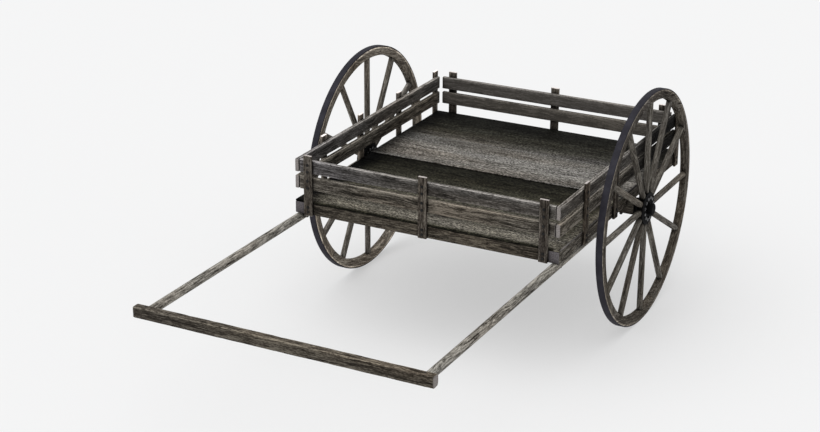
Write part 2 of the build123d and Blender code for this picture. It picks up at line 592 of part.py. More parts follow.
    cap_start = FLANGE_START + FLANGE_THICKNESS
    with BuildPart() as cap:
        with BuildSketch(hub.offset(cap_start)):
            Circle(CAP_RADIUS)
        extrude(amount=CAP_LENGTH)
        outward = Axis((0, 0, 0), (side, 0, 0))
        fillet(cap.edges().sort_by(outward)[-1], radius=6.0)
        with BuildSketch(hub.offset(cap_start)):
            Circle(BOX_RADIUS + 0.05)
        extrude(amount=BOX_HALF_LENGTH - cap_start, mode=Mode.SUBTRACT)
        with BuildSketch(hub.offset(BOX_HALF_LENGTH)):
            Circle(CAP_BORE_RADIUS)
        extrude(amount=cap_start + CAP_LENGTH - 3.0 - BOX_HALF_LENGTH, mode=Mode.SUBTRACT)
    cap.part.label = f"hub_cap_{word}"
    export_step(cap.part, f"parts/hub_cap_{word}.step")

    with BuildPart() as hub_bolts:
        with BuildSketch(hub.offset(-cap_start)):
            with PolarLocations(HUB_BOLT_CIRCLE, SPOKE_COUNT, start_angle=wedge):
                Circle(HUB_BOLT_RADIUS)
        extrude(amount=2 * cap_start)
        with BuildSketch(hub.offset(cap_start)):
            with PolarLocations(HUB_BOLT_CIRCLE, SPOKE_COUNT, start_angle=wedge):
                RegularPolygon(HUB_HEAD_WIDTH / 2, 6, major_radius=False)
        extrude(amount=HUB_HEAD_HEIGHT)
        with BuildSketch(hub.offset(-cap_start)):
            with PolarLocations(HUB_BOLT_CIRCLE, SPOKE_COUNT, start_angle=wedge):
                RegularPolygon(HUB_HEAD_WIDTH / 2, 6, major_radius=False)
        extrude(amount=-HUB_NUT_HEIGHT)
    hub_bolts.part.label = f"hub_bolts_{word}"
    export_step(hub_bolts.part, f"parts/hub_bolts_{word}.step")

# ---- pull frame ----------------------------------------------------------------------

PIN_Y = CROSSBAR_BACK_Y - TENON_LENGTH / 2
DOWEL_PIN_RADIUS = 4.0
POLE_END_Y = BOX_FRONT_Y + POLE_END

for side, word in SIDES:
    pole_front = Plane(origin=(side * POLE_X, CROSSBAR_BACK_Y, POLE_Z), x_dir=(1, 0, 0), z_dir=(0, 1, 0))
    with BuildPart() as pole:
        with BuildSketch(pole_front):
            Circle(POLE_RADIUS)
        extrude(amount=POLE_END_Y - CROSSBAR_BACK_Y)
        chamfer(pole.edges().sort_by(Axis.Y)[-1], length=3.0)
        with BuildSketch(pole_front):
            Circle(TENON_RADIUS)
        extrude(amount=-TENON_LENGTH)
        # Flat that beds under the sill, and the seats of the nuts
        flat_middle_y = (BOX_FRONT_Y + POLE_END_Y) / 2
        with Locations((side * POLE_X, flat_middle_y, SILL_Z + 5.0)):
            Box(2 * POLE_RADIUS, POLE_END, 10.0, mode=Mode.SUBTRACT)
        with Locations([(side * POLE_X, y, POLE_Z - POLE_RADIUS - 2.0) for y in POLE_BOLT_Y]):
            Box(2 * POLE_RADIUS, 22.0, 10.0, mode=Mode.SUBTRACT)
        with Locations([(side * POLE_X, y, SILL_Z) for y in POLE_BOLT_Y]):
            Hole(CARRIAGE_RADIUS + 0.3)
        with Locations((side * POLE_X, PIN_Y, POLE_Z)):
            Cylinder(DOWEL_PIN_RADIUS + 0.1, 2 * POLE_RADIUS, mode=Mode.SUBTRACT)
    pole.part.label = f"pole_{word}"
    export_step(pole.part, f"parts/pole_{word}.step")

with BuildPart() as crossbar:
    with Locations((0, CROSSBAR_FRONT_Y + CROSSBAR_DEPTH / 2, CROSSBAR_Z)):
        Box(CROSSBAR_LENGTH, CROSSBAR_DEPTH, CROSSBAR_HEIGHT)
    chamfer(crossbar.edges().filter_by(Axis.X), length=3.0)
    with BuildSketch(Plane.XZ.offset(-CROSSBAR_BACK_Y)):
        with Locations((-POLE_X, POLE_Z), (POLE_X, POLE_Z)):
            Circle(TENON_RADIUS + 0.1)
    extrude(amount=TENON_LENGTH + 0.5, mode=Mode.SUBTRACT)
    with Locations([(side * POLE_X, PIN_Y, CROSSBAR_Z) for side, word in SIDES]):
        Cylinder(DOWEL_PIN_RADIUS + 0.1, CROSSBAR_HEIGHT, mode=Mode.SUBTRACT)
crossbar.part.label = "crossbar"
export_step(crossbar.part, "parts/crossbar.step")

with BuildPart() as crossbar_pins:
    with Locations([(side * POLE_X, PIN_Y, CROSSBAR_Z) for side, word in SIDES]):
        Cylinder(DOWEL_PIN_RADIUS, CROSSBAR_HEIGHT)
crossbar_pins.part.label = "crossbar_pins"
export_step(crossbar_pins.part, "parts/crossbar_pins.step")
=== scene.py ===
"""Two-wheeled wooden hand cart: worn boards, wheel wood, iron and a pale studio."""
import json
import math
import random

import bpy
from mathutils import Matrix, Vector, noise


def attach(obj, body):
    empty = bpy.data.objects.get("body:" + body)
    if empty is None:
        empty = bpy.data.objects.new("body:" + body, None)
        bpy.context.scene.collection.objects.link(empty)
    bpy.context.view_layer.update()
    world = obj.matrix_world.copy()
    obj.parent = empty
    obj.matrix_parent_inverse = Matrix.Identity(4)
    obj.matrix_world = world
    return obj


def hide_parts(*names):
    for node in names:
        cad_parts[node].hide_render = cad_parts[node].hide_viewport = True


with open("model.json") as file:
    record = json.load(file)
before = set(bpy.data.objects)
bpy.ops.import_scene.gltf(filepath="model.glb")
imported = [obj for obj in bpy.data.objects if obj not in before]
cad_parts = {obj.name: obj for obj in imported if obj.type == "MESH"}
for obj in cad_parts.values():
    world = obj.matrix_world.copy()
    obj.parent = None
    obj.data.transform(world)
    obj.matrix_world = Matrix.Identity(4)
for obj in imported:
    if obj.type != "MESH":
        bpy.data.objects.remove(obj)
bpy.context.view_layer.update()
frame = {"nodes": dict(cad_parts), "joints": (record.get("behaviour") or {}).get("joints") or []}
NODES = frame["nodes"]
WHEEL_X, WHEEL_Y, WHEEL_Z = (abs(c) for c in frame["joints"][0]["pos_m"])
FELLOE_R = WHEEL_Z - 0.005  # the wheels stand on the ground in tyres 5 mm thick
CREVICE_REACH = 0.045  # how far apart surfaces still shade each other
SPOKES, FELLOES = 12, 6  # in a wheel
X, Y, Z = 0, 1, 2

# ---------------------------------------------------------------- node helpers


class Graph:
    """A material's node tree, written as expressions."""

    def __init__(self, name):
        self.mat = bpy.data.materials.new(name)
        self.mat.use_nodes = True
        self.nt = self.mat.node_tree
        self.nt.nodes.clear()

    def node(self, kind, **props):
        n = self.nt.nodes.new(kind)
        for key, value in props.items():
            setattr(n, key, value)
        return n

    def put(self, socket, value):
        if hasattr(value, "is_output"):
            self.nt.links.new(value, socket)
        else:
            socket.default_value = value

    def math(self, op, a, b=0.0, c=0.0, clamp=False):
        n = self.node("ShaderNodeMath", operation=op, use_clamp=clamp)
        for socket, value in zip(n.inputs, (a, b, c)):
            self.put(socket, value)
        return n.outputs[0]

    def split(self, vector):
        n = self.node("ShaderNodeSeparateXYZ")
        self.put(n.inputs[0], vector)
        return n.outputs

    def join(self, x, y, z):
        n = self.node("ShaderNodeCombineXYZ")
        for socket, value in zip(n.inputs, (x, y, z)):
            self.put(socket, value)
        return n.outputs[0]

    def noise(self, x, y, z, detail=4.0, rough=0.55):
        n = self.node("ShaderNodeTexNoise", noise_dimensions="3D")
        self.put(n.inputs["Vector"], self.join(x, y, z))
        n.inputs["Scale"].default_value = 1.0
        n.inputs["Detail"].default_value = detail
        n.inputs["Roughness"].default_value = rough
        return n.outputs["Fac"]

    def scaled(self, place, scales, detail=4.0, rough=0.55):
        """Noise at a place (x, y, z) whose coordinates are each multiplied by a scale."""
        x, y, z = (self.math("MULTIPLY", c, k) for c, k in zip(place, scales))
        return self.noise(x, y, z, detail, rough)

    def span(self, value, low, high, to_low=0.0, to_high=1.0, smooth=True):
        shape = "SMOOTHSTEP" if smooth else "LINEAR"
        n = self.node("ShaderNodeMapRange", interpolation_type=shape, clamp=True)
        for socket, v in zip(n.inputs, (value, low, high, to_low, to_high)):
            self.put(socket, v)
        return n.outputs[0]

    def mix(self, fac, a, b, blend="MIX"):
        n = self.node("ShaderNodeMix", data_type="RGBA", blend_type=blend, clamp_factor=True)
        self.put(n.inputs[0], fac)
        for socket, value in ((n.inputs[6], a), (n.inputs[7], b)):
            self.put(socket, value if hasattr(value, "is_output") else (*value, 1.0))
        return n.outputs[2]

    def ramp(self, fac, stops):
        n = self.node("ShaderNodeValToRGB")
        els = n.color_ramp.elements
        while len(els) < len(stops):
            els.new(0.5)
        for el, (at, colour) in zip(els, stops):
            el.position = at
            el.color = (*colour, 1.0)
        self.put(n.inputs[0], fac)
        return n.outputs[0]

    def painted_crevice_shade(self, colour, amount, edge=0.0):
        """Painted shade where surfaces meet, from an occlusion node; worn edges are never shaded below half.
        """
        n = self.node("ShaderNodeAmbientOcclusion", samples=8)
        n.inputs["Distance"].default_value = CREVICE_REACH
        open_ = self.span(n.outputs["AO"], 0.38, 0.97, 1.0 - 0.92 * amount, 1.0)
        if hasattr(edge, "is_output"):
            open_ = self.math("MAXIMUM", open_, self.math("MULTIPLY", edge, 0.5))
        return self.mix(1.0, colour, self.join(open_, open_, open_), "MULTIPLY")

    def finish(self, colour, rough, height, metallic, specular, bump, strength):
        bsdf = self.node("ShaderNodeBsdfPrincipled")
        out = self.node("ShaderNodeOutputMaterial")
        self.put(bsdf.inputs["Base Color"], colour)
        self.put(bsdf.inputs["Roughness"], rough)
        self.put(bsdf.inputs["Metallic"], metallic)
        bsdf.inputs["Specular IOR Level"].default_value = specular
        b = self.node("ShaderNodeBump")
        b.inputs["Distance"].default_value = bump
        b.inputs["Strength"].default_value = strength
        self.put(b.inputs["Height"], height)
        self.nt.links.new(b.outputs[0], bsdf.inputs["Normal"])
        self.nt.links.new(bsdf.outputs[0], out.inputs[0])
        return self.mat


def by_place(g):
    """Sockets (x, y, z) of where in the frame a point is."""
    return g.split(g.node("ShaderNodeTexCoord").outputs["Object"])


def times(g, colour, value):
    """A colour multiplied by a number, or by a grey."""
    return g.mix(1.0, colour, g.join(value, value, value), "MULTIPLY")


def from_axle(g, y, z):
    """Place in the wheels' plane, from the axle: (y, z, radius)."""
    dy, dz = g.math("SUBTRACT", y, WHEEL_Y), g.math("SUBTRACT", z, WHEEL_Z)
    squares = g.math("ADD", g.math("MULTIPLY", dy, dy), g.math("MULTIPLY", dz, dz))
    return dy, dz, g.math("SQRT", squares)


def grain_coords(g, source):
    """Sockets (along, across, through, tone, edge, ends) that say where in a board a point is.

    The source is 'attribute' for generated boards, 'x' or 'y' for timber that lies along that axis,
    and 'spokes' or 'felloes' for the wheels.
    """
    if source == "attribute":
        a = g.node("ShaderNodeAttribute", attribute_name="grain")
        t = g.node("ShaderNodeAttribute", attribute_name="board")
        u, v, w = g.split(a.outputs["Vector"])
        tone, edge, ends = g.split(t.outputs["Vector"])
        return u, v, w, tone, edge, ends
    place = g.node("ShaderNodeTexCoord")
    x, y, z = g.split(place.outputs["Object"])
    side = g.math("SIGN", x)
    if source in ("x", "y"):
        facing = g.split(place.outputs["Normal"])[X if source == "x" else Y]
        ends = g.span(g.math("ABSOLUTE", facing), 0.75, 0.9)
        if source == "x":
            return x, y, z, 0.5, 0.0, ends
        return g.math("ADD", y, g.math("MULTIPLY", side, 3.7)), x, z, 0.5, 0.0, ends
    dy, dz, r = from_axle(g, y, z)
    turn = g.math("DIVIDE", g.math("ARCTAN2", dz, dy), 2 * math.pi)
    parts, phase = (SPOKES, 0.5) if source == "spokes" else (FELLOES, 0.25)
    t = g.math("MULTIPLY_ADD", turn, float(parts), phase)
    k = g.math("FLOOR", t)
    local = g.math("SUBTRACT", g.math("SUBTRACT", t, k), 0.5)
    local = g.math("DIVIDE", local, parts / (2 * math.pi))
    key = g.math("MULTIPLY_ADD", side, 17.0, g.math("MULTIPLY", k, 2.37))
    hashed = g.math("MULTIPLY", g.math("SINE", g.math("MULTIPLY", key, 12.9898)), 43.7)
    tone = g.math("FRACT", hashed)
    lateral = g.math("MULTIPLY", r, g.math("SINE", local))
    radial = g.math("MULTIPLY", r, g.math("COSINE", local))
    along, across = (radial, lateral) if source == "spokes" else (lateral, radial)
    return g.math("ADD", along, key), across, x, tone, 0.0, 0.0


# noise scales of a board per metre: (along the fibres, across them, through the board)
WANDER = (2.2, 9.0, 9.0)
BROAD_BANDS = (3.0, 60.0, 60.0)
FIBRES = (17.0, 210.0, 210.0)
FINE_FIBRES = (55.0, 800.0, 800.0)
FLECKS = (95.0, 260.0, 260.0)
BLOTS = (2.6, 14.0, 14.0)
CRACK_LINES = (2.0, 80.0, 80.0)
CRACK_PLACES = (6.0, 30.0, 30.0)
KNOTS = (3.1, 13.0)
WARM, PLAIN, VIOLET = (1.13, 0.99, 0.85), (1.0, 0.985, 0.95), (0.98, 0.98, 1.08)


def wood(name, source, dark=(0.020, 0.017, 0.014), mid=(0.085, 0.076, 0.064), light=(0.22, 0.205, 0.18),
         streak=1.0, stain=0.5, knots=0.6, worn=0.5, hue=0.5, fleckle=1.0, end=(0.30, 0.275, 0.262),
         top_bleach_and_light=0.45, painted_crevice_shade=1.0, overlay=None):
    """Weathered timber: streaked fibres, knots, drying cracks, stains and pale worn edges, with painted
    crevice shade and tops painted lighter.
    """
    g = Graph(name)
    m = g.math
    u, v, w, tone, edge, ends = grain_coords(g, source)

    def centred(layer, weight):
        return m("MULTIPLY", m("SUBTRACT", layer, 0.5), weight)

    # slow wander of the fibre lines, and the bulge of the lines round each knot
    wander = centred(g.scaled((u, v, w), WANDER, 2.0), 0.016)
    vor = g.node("ShaderNodeTexVoronoi", voronoi_dimensions="2D")
    knot_u, knot_v = m("MULTIPLY", u, KNOTS[0]), m("MULTIPLY", m("ADD", v, w), KNOTS[1])
    g.put(vor.inputs["Vector"], g.join(knot_u, knot_v, 0.0))
    vor.inputs["Scale"].default_value = 1.0
    vor.inputs["Randomness"].default_value = 1.0
    bulge = g.span(vor.outputs["Distance"], 0.05, 0.34, 1.0, 0.0)
    eye = g.span(vor.outputs["Distance"], 0.03, 0.15, 1.0, 0.0)
    line_v = m("ADD", m("ADD", v, wander), m("MULTIPLY", bulge, 0.011))
    line_w = m("ADD", w, m("MULTIPLY", wander, 0.7))
    line = (u, line_v, line_w)

    broad = g.scaled(line, BROAD_BANDS, 3.0, 0.6)
    fibre = g.scaled(line, FIBRES, 4.0, 0.62)
    fine = g.scaled(line, FINE_FIBRES, 3.0, 0.6)
    fleck = g.scaled((u, v, w), FLECKS, 3.0, 0.65)
    blot = g.scaled((u, v, w), BLOTS, 3.0, 0.6)
    value = 0.5
    for layer, weight in ((fibre, 2.5 * streak), (broad, 1.1 * streak), (fine, 0.7), (fleck, 1.3 * fleckle),
                          (blot, 1.1 * stain), (tone, 0.12)):
        value = m("ADD", value, centred(layer, weight))
    value = m("SUBTRACT", value, m("MULTIPLY", eye, 0.45 * knots))

    # drying cracks: thin lines along the fibres that come and go
    ridge = m("ABSOLUTE", m("SUBTRACT", g.scaled(line, CRACK_LINES, 1.0, 0.4), 0.5))
    come = g.span(g.scaled((u, v, w), CRACK_PLACES, 2.0), 0.46, 0.60)
    crack = m("MULTIPLY", g.span(ridge, 0.005, 0.028, 1.0, 0.0), come)
    value = m("SUBTRACT", value, m("MULTIPLY", crack, 0.5))
    rubbed = m("MULTIPLY", edge, g.span(fleck, 0.30, 0.55))
    value = m("ADD", value, m("MULTIPLY", rubbed, 0.60 * worn), clamp=True)
    colour = g.ramp(value, [(0.0, dark), (0.50, mid), (1.0, light)])

    # brown and violet drift between boards and along them
    drift_w = m("ADD", m("MULTIPLY", w, 6.0), m("MULTIPLY", tone, 9.0))
    drift = g.noise(m("MULTIPLY", u, 1.1), m("MULTIPLY", v, 6.0), drift_w, 2.0)
    tint = g.ramp(drift, [(0.30, WARM), (0.5, PLAIN), (0.72, VIOLET)])
    colour = g.mix(hue, colour, g.mix(1.0, colour, tint, "MULTIPLY"))
    # faces that look up are made lighter: partly weather bleaching, partly painted light from above
    upward = g.span(g.split(g.node("ShaderNodeTexCoord").outputs["Normal"])[Z], 0.3, 0.9)
    colour = times(g, colour, m("MULTIPLY_ADD", upward, top_bleach_and_light, 1.0))
    # sawn ends: rings and checks in a paler dry grey
    ring = g.noise(m("MULTIPLY", v, 240.0), m("MULTIPLY", w, 240.0), 0.0, 4.0, 0.6)
    colour = g.mix(ends, colour, g.ramp(ring, [(0.34, tuple(0.42 * c for c in end)), (0.58, end)]))
    if overlay:
        colour = overlay(g, colour, fleck, blot)
    # boards with strongly lightened tops keep their upper faces, like their edges, at least half out of the
    # painted crevice shade
    colour = g.painted_crevice_shade(colour, painted_crevice_shade, edge=m("MAXIMUM", edge, upward) if top_bleach_and_light > 1.0 else edge)
    height = m("ADD", m("MULTIPLY", fibre, 0.7), m("MULTIPLY", fine, 0.25))
    height = m("SUBTRACT", height, m("MULTIPLY", crack, 0.9))
    rough = g.span(value, 0.0, 1.0, 0.92, 0.70, smooth=False)
    return g.finish(colour, rough, height, metallic=0.0, specular=0.05, bump=0.0012, strength=0.6)


def iron(name, base, pale, rust, rough, metallic, shine, scale=1.0, inner=None):
    """Dark iron: mottled scale, worn pale spots, some dull rust; inner colours the side towards the cart."""
    g = Graph(name)
    m = g.math
    place = by_place(g)
    cloud = g.scaled(place, [22.0 * scale] * 3, 5.0, 0.6)
    grit = g.scaled(place, [420.0 * scale] * 3, 4.0, 0.65)
    wear = g.scaled(place, [90.0 * scale] * 3, 4.0, 0.7)
    colour = g.mix(g.span(cloud, 0.35, 0.7), base, pale)
    colour = g.mix(m("MULTIPLY", g.span(wear, 0.62, 0.78), 0.8), colour, rust)
    colour = g.mix(g.span(grit, 0.55, 0.75, 0.0, 0.35), colour, tuple(1.8 * c for c in pale))
    if inner:
        outside = g.span(m("ABSOLUTE", place[X]), WHEEL_X - 0.003, WHEEL_X + 0.003)
        colour = g.mix(outside, inner, colour)
    r = g.span(cloud, 0.3, 0.7, rough - 0.08, rough + 0.12)
    r = m("ADD", r, m("MULTIPLY", m("SUBTRACT", grit, 0.5), 0.3), clamp=True)
    height = m("ADD", m("MULTIPLY", grit, 0.5), m("MULTIPLY", wear, 0.5))
    # painted crevice shade on the iron too
    colour = g.painted_crevice_shade(colour, 0.7)
    return g.finish(colour, r, height, metallic=metallic, specular=shine, bump=0.0004, strength=0.5)


# ---------------------------------------------------------------- solids of a CAD node


def solids(node):
    """Lowest and highest corner of every separate solid of a CAD node, in order of position."""
    mesh = NODES[node].data
    key, parent = {}, []
    index = []
    for v in mesh.vertices:
        k = tuple(round(c, 5) for c in v.co)
        if k not in key:
            key[k] = len(parent)
            parent.append(len(parent))
        index.append(key[k])

    def root(i):
        while parent[i] != i:
            parent[i] = parent[parent[i]]
            i = parent[i]
        return i

    for p in mesh.polygons:
        ids = [root(index[i]) for i in p.vertices]
        for i in ids[1:]:
            parent[root(i)] = root(ids[0])
    groups = {}
    for k, i in key.items():
        groups.setdefault(root(i), []).append(k)
    boxes = []
    for points in groups.values():
        boxes.append((Vector([min(p[a] for p in points) for a in range(3)]),
                      Vector([max(p[a] for p in points) for a in range(3)])))
    return sorted(boxes, key=lambda b: tuple(round(c, 4) for c in b[0]))


rng = random.Random(20)
POINT_SPACING = 0.02  # metres between a board's points across it
THIN_BOARD = 0.02


def board_geometry(lo, hi, along, radius, wear, step, ragged, seed):
    """One worn board: rounded edges that wander, and bitten ends.

    Returns its vertices and faces, and for every vertex its grain coordinate, how far it lies on an edge
    and how far on an end.
    """
    size = hi - lo
    others = sorted((a for a in range(3) if a != along), key=lambda a: -size[a])
    wide, thick = others
    half = [size[wide] / 2, size[thick] / 2]
    radius = min(radius, half[1] * 0.7)
    # cross section, counter-clockwise, as (wide, thick, edge) with the corner arcs in it
    ring = []
    flat = max(2, round(size[wide] / POINT_SPACING))
    turns = ((1, 1, 0.0), (-1, 1, 90.0), (-1, -1, 180.0), (1, -1, 270.0))
    for number, (sx, sy, start) in enumerate(turns):
        cx, cy = sx * (half[0] - radius), sy * (half[1] - radius)
        for part in (0, 1, 2, 3):
            angle = math.radians(start + part * 30.0)
            worn = 1.0 if part in (1, 2) else 0.6
            ring.append((cx + radius * math.cos(angle), cy + radius * math.sin(angle), worn))
        nx, ny, _ = turns[(number + 1) % 4]
        tx, ty = nx * (half[0] - radius), ny * (half[1] - radius)
        count = flat if number % 2 == 0 else (1 if size[thick] < THIN_BOARD else 3)
        end_angle = math.radians(start + 90.0)
        ox, oy = radius * math.cos(end_angle), radius * math.sin(end_angle)
        for i in range(count):
            f = (i + 1) / (count + 1)
            ring.append((cx + (tx - cx) * f + ox, cy + (ty - cy) * f + oy, 0.0))
    stations = max(4, round(size[along] / step))
    ends = [0.0, radius * 0.35 / size[along], radius * 1.3 / size[along]]
    places = ends + [i / stations for i in range(1, stations)] + [1 - e for e in reversed(ends)]
    verts, edges, coords, tips = [], [], [], []
    centre = (lo + hi) / 2
    offset = Vector((seed * 1.37 % 41.0, seed * 0.71 % 13.0, seed * 0.53 % 7.0))
    for number, f in enumerate(places):
        from_end = min(number, len(places) - 1 - number)
        shrink = {0: 0.62 * radius, 1: 0.2 * radius}.get(from_end, 0.0)
        for j, (a, b, e) in enumerate(ring):
            s = (f - 0.5) * size[along]
            at = Vector((s * 14.0, a * 60.0 + seed * 3.1, b * 60.0))
            low = noise.noise(Vector((s * 5.0, a * 12.0 + seed, b * 12.0))) * 0.5 + 0.5
            rough = noise.noise(at) * 0.5 + 0.5
            depth = wear * (0.55 * low + 0.45 * rough)
            if e:
                corner = round(math.atan2(b, a), 1)
                bite = noise.noise(Vector((s * 22.0 + seed * 7.7, corner * 3.0, 0.4))) - 0.28
                depth += e * (wear * 0.8 * rough + max(0.0, bite) * wear * 3.0)
            la, lb = a, b
            out_a = (half[0] - abs(a)) < radius
            out_b = (half[1] - abs(b)) < radius
            if out_a:
                la = math.copysign(max(0.0, abs(a) - depth), a)
            if out_b:
                lb = math.copysign(max(0.0, abs(b) - min(depth, half[1] * 0.35)), b)
            scale_a = (half[0] - shrink) / half[0]
            scale_b = (half[1] - min(shrink, half[1] * 0.5)) / half[1]
            if from_end < 3:
                nip = noise.noise(Vector((a * 55.0 + seed * 1.9, b * 40.0, f * 9.0))) + 0.1
                s -= math.copysign(ragged * max(0.0, nip), s) * (1.0 if from_end == 0 else 0.6)
            co = Vector((0.0, 0.0, 0.0))
            co[along], co[wide], co[thick] = s, la * scale_a, lb * scale_b
            verts.append(centre + co)
            coords.append(Vector((s, a, b)) + offset)
            edges.append(e)
            tips.append({0: 1.0, 1: 0.6}.get(from_end, 0.0))
    n = len(ring)
    faces = []
    for i in range(len(places) - 1):
        for j in range(n):
            k = (j + 1) % n
            faces.append((i * n + j, i * n + k, (i + 1) * n + k, (i + 1) * n + j))
    for end, station in ((0, 0), (1, len(places) - 1)):
        first = station * n
        mid = sum((verts[first + j] for j in range(n)), Vector()) / n
        heart = Vector((coords[first][0], offset[1], offset[2]))
        inner = len(verts)
        for j in range(n):
            verts.append(verts[first + j].lerp(mid, 0.45))
            coords.append(coords[first + j].lerp(heart, 0.45))
            edges.append(0.0)
            tips.append(1.0)
        hub = len(verts)
        verts.append(mid)
        coords.append(heart)
        edges.append(0.0)
        tips.append(1.0)
        for j in range(n):
            k = (j + 1) % n
            quad = (first + j, inner + j, inner + k, first + k)
            tri = (inner + j, hub, inner + k)
            faces.append(quad if end == 0 else quad[::-1])
            faces.append(tri if end == 0 else tri[::-1])
    # the axes' handedness decides the winding
    basis = Matrix.Identity(3)
    for row, a in enumerate((along, wide, thick)):
        basis[row] = [1.0 if i == a else 0.0 for i in range(3)]
    if basis.determinant() < 0:
        faces = [f[::-1] for f in faces]
    return verts, faces, coords, edges, tips


def boards(name, node, along, material, body="chassis", radius=0.0022, wear=0.0007, step=0.016,
           ragged=0.0025):
    """Worn boards in place of every solid of a CAD node, as one piece."""
    verts, faces, coords, worn, tones, tips = [], [], [], [], [], []
    for lo, hi in solids(node):
        seed = rng.uniform(1.0, 90.0)
        tone = rng.random()
        v, f, c, e, t = board_geometry(lo, hi, along, radius, wear, step, ragged, seed)
        base = len(verts)
        verts += v
        coords += c
        worn += e
        tips += t
        tones += [tone] * len(v)
        faces += [tuple(base + i for i in face) for face in f]
    mesh = bpy.data.meshes.new(name)
    mesh.from_pydata(verts, [], faces)
    grain = mesh.attributes.new("grain", "FLOAT_VECTOR", "POINT")
    board = mesh.attributes.new("board", "FLOAT_VECTOR", "POINT")
    for i, co in enumerate(coords):
        grain.data[i].vector = co
        board.data[i].vector = (tones[i], worn[i], tips[i])
    for p in mesh.polygons:
        p.use_smooth = True
    mesh.materials.append(material)
    mesh.update()
    mesh.set_sharp_from_angle(angle=math.radians(52))
    obj = bpy.data.objects.new(name, mesh)
    bpy.context.scene.collection.objects.link(obj)
    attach(obj, body)
    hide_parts(node)


def dress(names, material, bevel=0.0):
    """A CAD node keeps its shape and takes a finished material, with its edges eased where bevel is given."""
    for name in names:
        o = NODES[name]
        if not o.material_slots:
            o.data.materials.append(material)
        for s in o.material_slots:
            s.material = material
        if bevel:
            weld = o.modifiers.new("weld", "WELD")
            weld.merge_threshold = 1e-5
            ease = o.modifiers.new("ease", "BEVEL")
            ease.width = bevel
            ease.segments = 2
            ease.limit_method = "ANGLE"
            ease.angle_limit = math.radians(40)
            ease.harden_normals = True


# ---------------------------------------------------------------- materials


def grey(*stops):
    return [(at, (v, v, v)) for at, v in stops]


def brown_in_deep_shade(g, colour, shade):
    """Where the painted shade is deep, it turns brown."""
    brown = g.mix(1.0, colour, (1.0, 1.02, 0.87), "MULTIPLY")
    return g.mix(g.span(shade, 0.5, 0.1), colour, brown)


# painted light and shade on the boards, from the front of each floor (0) to its back (1)
DECK_SHADE = grey((0.0, 0.74), (0.18, 0.90), (0.36, 0.80), (0.50, 0.46), (0.62, 0.20), (0.80, 0.075),
                  (1.0, 0.04))
FLOOR_SHADE = grey((0.0, 0.06), (0.012, 0.20), (0.035, 0.62), (0.07, 1.05), (0.12, 0.8), (0.17, 0.38),
                   (0.62, 0.24), (0.76, 0.12), (0.88, 0.06), (1.0, 0.04))
DECK_FRONT, DECK_BACK = 0.54, 1.24
FLOOR_FRONT, FLOOR_BACK = -0.1005, 0.56
SIDE_FACE = 0.58  # from the middle to the outer faces of the side boards


def deck_painted_shade(g, colour, fleck, blot):
    """Painted shade on the raised boards: pale in the middle, dark to the rear and along the left edge."""
    m = g.math
    x, y, _ = by_place(g)
    jitter = m("MULTIPLY", m("SUBTRACT", blot, 0.5), 0.16)
    shade = g.ramp(g.span(m("ADD", y, jitter), DECK_FRONT, DECK_BACK, smooth=False), DECK_SHADE)
    left = g.span(m("ADD", x, m("MULTIPLY", jitter, 0.25)), -0.60, -0.47, 0.10, 1.0)
    grit = g.span(fleck, 0.34, 0.66, 0.62, 1.38)
    return brown_in_deep_shade(g, times(g, times(g, times(g, colour, shade), left), grit), shade)


def floor_painted_light_and_shade(g, colour, fleck, blot):
    """The lower floor: lighter where it shows outside the rails; inside, painted light and shade, a bright
    band near the front, painted shade along the left side, darkest at the step.
    """
    m = g.math
    x, y, _ = by_place(g)
    jittered = m("ADD", y, m("MULTIPLY", m("SUBTRACT", blot, 0.5), 0.01))
    shade = g.ramp(g.span(jittered, FLOOR_FRONT, FLOOR_BACK, smooth=False), FLOOR_SHADE)
    left = g.span(x, -0.57, -0.47, 0.04, 1.0)
    lip = m("MULTIPLY", g.span(x, 0.565, 0.582), g.span(x, 0.600, 0.594, 0.4, 1.0))
    grit = g.span(fleck, 0.34, 0.66, 0.60, 1.40)
    shaded = times(g, times(g, colour, shade), left)
    bright = times(g, colour, g.span(y, 0.5, 1.1, 0.55, 0.25))
    return times(g, g.mix(lip, brown_in_deep_shade(g, shaded, shade), bright), grit)


def rail_rear_darkening(g, colour, _fleck, _blot):
    """The outer faces beside the right wheel are dark to the rear; the back boards are dry and even."""
    m = g.math
    x, y, _ = by_place(g)
    back = g.span(y, 1.17, 1.18)
    colour = g.mix(m("MULTIPLY", back, 0.45), colour, (0.125, 0.113, 0.099))
    rear = m("MULTIPLY", g.span(x, SIDE_FACE, SIDE_FACE + 0.01), g.span(y, 0.55, 0.85))
    return times(g, colour, m("SUBTRACT", 1.0, m("MULTIPLY", rear, 0.93)))


def felloe_arris_and_left_light(g, colour, _fleck, _blot):
    """A pale rubbed arris on the felloes where the tyre ends; painted light makes the left wheel paler, most
    on its inner half.
    """
    x, y, z = by_place(g)
    radius = from_axle(g, y, z)[2]
    inward = g.span(x, -WHEEL_X, -WHEEL_X + 0.012, 0.4, 1.6)
    colour = times(g, colour, g.math("MULTIPLY_ADD", g.span(x, -0.1, 0.1, 1.0, 0.0), inward, 1.0))
    return times(g, colour, g.span(radius, FELLOE_R - 0.009, FELLOE_R - 0.004, 1.0, 3.0))


def spoke_light(g, colour, _fleck, _blot):
    """Painted light: the left wheel is painted paler."""
    return times(g, colour, g.span(by_place(g)[X], -0.1, 0.1, 1.35, 1.0))


def post_light(g, colour, _fleck, _blot):
    """Painted light: the posts along the left and back sides are painted paler."""
    x, y, _ = by_place(g)
    left = g.math("MULTIPLY", g.span(x, -0.594, -0.60), 1.5)
    pale = g.math("MAXIMUM", left, g.math("MULTIPLY", g.span(y, 1.08, 1.10), 0.6))
    return times(g, colour, g.math("ADD", pale, 1.0))


